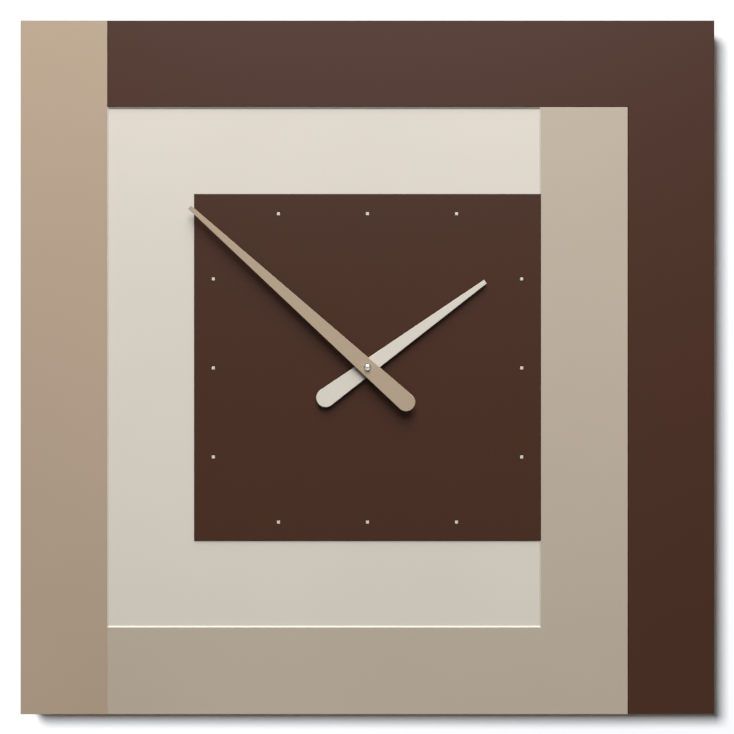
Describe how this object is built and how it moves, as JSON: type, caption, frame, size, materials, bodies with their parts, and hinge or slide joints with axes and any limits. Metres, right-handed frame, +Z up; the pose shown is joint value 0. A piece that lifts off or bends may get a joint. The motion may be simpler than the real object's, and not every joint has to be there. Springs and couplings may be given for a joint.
{
  "type": "wall clock",
  "caption": "Square panelled wall clock: recessed cream ground, dark square dial with small square markers, two tapered hands, quartz movement and keyhole hanger.",
  "frame": {"origin": "where the hands' axis meets the wall, in the plane of the rear frame's back face", "axes": "+X to the right as seen from the front, +Y into the wall, so the dial faces -Y, +Z up towards twelve o'clock"},
  "size_m": [0.45, 0.0374, 0.45],
  "materials": {
    "board_lacquer": "satin",
    "cream_lacquer": "satin",
    "tan_lacquer": "satin",
    "chocolate_lacquer": "satin",
    "stone_lacquer": "satin",
    "dial_lacquer": "satin",
    "marker_cream": "satin",
    "frame_wood": "raw",
    "zinc_screw": "plated",
    "zinc_plate": "plated",
    "case_plastic": "moulded",
    "knob_plastic": "moulded",
    "stem_brass": "turned",
    "bush_brass": "turned",
    "gasket_rubber": "matt",
    "motor_steel": "rolled",
    "bobbin_plastic": "moulded",
    "copper_wire": "enamelled",
    "circuit_board": "satin",
    "crystal_can": "polished",
    "chip_epoxy": "gloss",
    "contact_strip": "plated",
    "minute_hand_paint": "painted satin",
    "hour_hand_paint": "painted satin",
    "cap_chrome": "polished",
    "gear_plastic": "moulded",
    "wheel_brass": "stamped",
    "shaft_steel": "ground",
    "rotor_magnet": "sintered",
    "cell_steel": "plated",
    "cell_sleeve": "gloss"
  },
  "bodies": {
    "clock_body": {"base_board": "board_lacquer", "left_strip": "tan_lacquer", "outer_corner_panel": "chocolate_lacquer", "inner_corner_panel": "stone_lacquer", "ground_panel": "cream_lacquer", "dial_panel": "dial_lacquer", "hour_markers": "marker_cream", "rear_frame": "frame_wood", "frame_screws": "zinc_screw", "hanger_plate": "zinc_plate", "hanger_screws": "zinc_screw", "rear_case": "case_plastic", "front_case": "case_plastic", "threaded_bushing": "stem_brass", "rubber_gasket": "gasket_rubber", "stem_washer": "stem_brass", "fixing_nut": "stem_brass", "stator_plate": "motor_steel", "coil_core": "motor_steel", "coil_bobbin": "bobbin_plastic", "coil_winding": "copper_wire", "circuit_board": "circuit_board", "quartz_crystal": "crystal_can", "control_chip": "chip_epoxy", "negative_contact": "contact_strip", "positive_contact": "contact_strip"},
    "minute_hand_body": {"minute_hand": "minute_hand_paint", "minute_hand_bush": "bush_brass", "hand_cap": "cap_chrome", "minute_shaft": "gear_plastic"},
    "hour_hand_body": {"hour_hand": "hour_hand_paint", "hour_hand_bush": "bush_brass", "hour_wheel": "gear_plastic"},
    "motion_wheel_body": {"motion_wheel": "gear_plastic"},
    "setting_knob_body": {"setting_knob": "knob_plastic", "setting_pinion": "gear_plastic"},
    "seconds_body": {"seconds_wheel": "gear_plastic", "seconds_shaft": "shaft_steel"},
    "rotor_body": {"rotor_magnet": "rotor_magnet", "rotor_pinion": "gear_plastic"},
    "intermediate_body": {"intermediate_wheel": "gear_plastic"},
    "third_body": {"third_wheel": "gear_plastic"},
    "centre_body": {"centre_wheel": "wheel_brass"},
    "battery_body": {"battery": "cell_steel", "battery_sleeve": "cell_sleeve"}
  },
  "joints": [
    {"name": "minute_hand_turn", "type": "hinge", "parent": "clock_body", "child": "minute_hand_body", "pos_m": [0, -0.0348, 0], "axis": [0, 1, 0], "continuous": true},
    {"name": "hour_hand_turn", "type": "hinge", "parent": "clock_body", "child": "hour_hand_body", "pos_m": [0, -0.0312, 0], "axis": [0, 1, 0], "continuous": true},
    {"name": "motion_wheel_turn", "type": "hinge", "parent": "clock_body", "child": "motion_wheel_body", "pos_m": [0.009, -0.0144, 0], "axis": [0, 1, 0], "continuous": true},
    {"name": "setting_knob_turn", "type": "hinge", "parent": "clock_body", "child": "setting_knob_body", "pos_m": [0.01851, -0.0017, 0.00346], "axis": [0, 1, 0], "continuous": true},
    {"name": "seconds_wheel_turn", "type": "hinge", "parent": "clock_body", "child": "seconds_body", "pos_m": [0, -0.0091, 0], "axis": [0, 1, 0], "continuous": true},
    {"name": "rotor_turn", "type": "hinge", "parent": "clock_body", "child": "rotor_body", "pos_m": [0.00932, -0.0056, 0.01354], "axis": [0, 1, 0], "continuous": true},
    {"name": "intermediate_wheel_turn", "type": "hinge", "parent": "clock_body", "child": "intermediate_body", "pos_m": [0.0045, -0.0073, 0.00779], "axis": [0, 1, 0], "continuous": true},
    {"name": "third_wheel_turn", "type": "hinge", "parent": "clock_body", "child": "third_body", "pos_m": [-0.00779, -0.0108, 0.0045], "axis": [0, 1, 0], "continuous": true},
    {"name": "centre_wheel_turn", "type": "hinge", "parent": "clock_body", "child": "centre_body", "pos_m": [0, -0.0127, 0], "axis": [0, 1, 0], "continuous": true},
    {"name": "battery_slide", "type": "slide", "parent": "clock_body", "child": "battery_body", "axis": [0, 1, 0], "range_m": [0, 0.03]}
  ],
  "couplings": [
    {"joint": "hour_hand_turn", "follows": "minute_hand_turn", "ratio": 0.083333},
    {"joint": "motion_wheel_turn", "follows": "minute_hand_turn", "ratio": -0.33333},
    {"joint": "setting_knob_turn", "follows": "minute_hand_turn", "ratio": 0.66667},
    {"joint": "rotor_turn", "follows": "seconds_wheel_turn", "ratio": 30},
    {"joint": "intermediate_wheel_turn", "follows": "seconds_wheel_turn", "ratio": -6},
    {"joint": "third_wheel_turn", "follows": "seconds_wheel_turn", "ratio": -0.13333},
    {"joint": "centre_wheel_turn", "follows": "seconds_wheel_turn", "ratio": 0.016667}
  ]
}
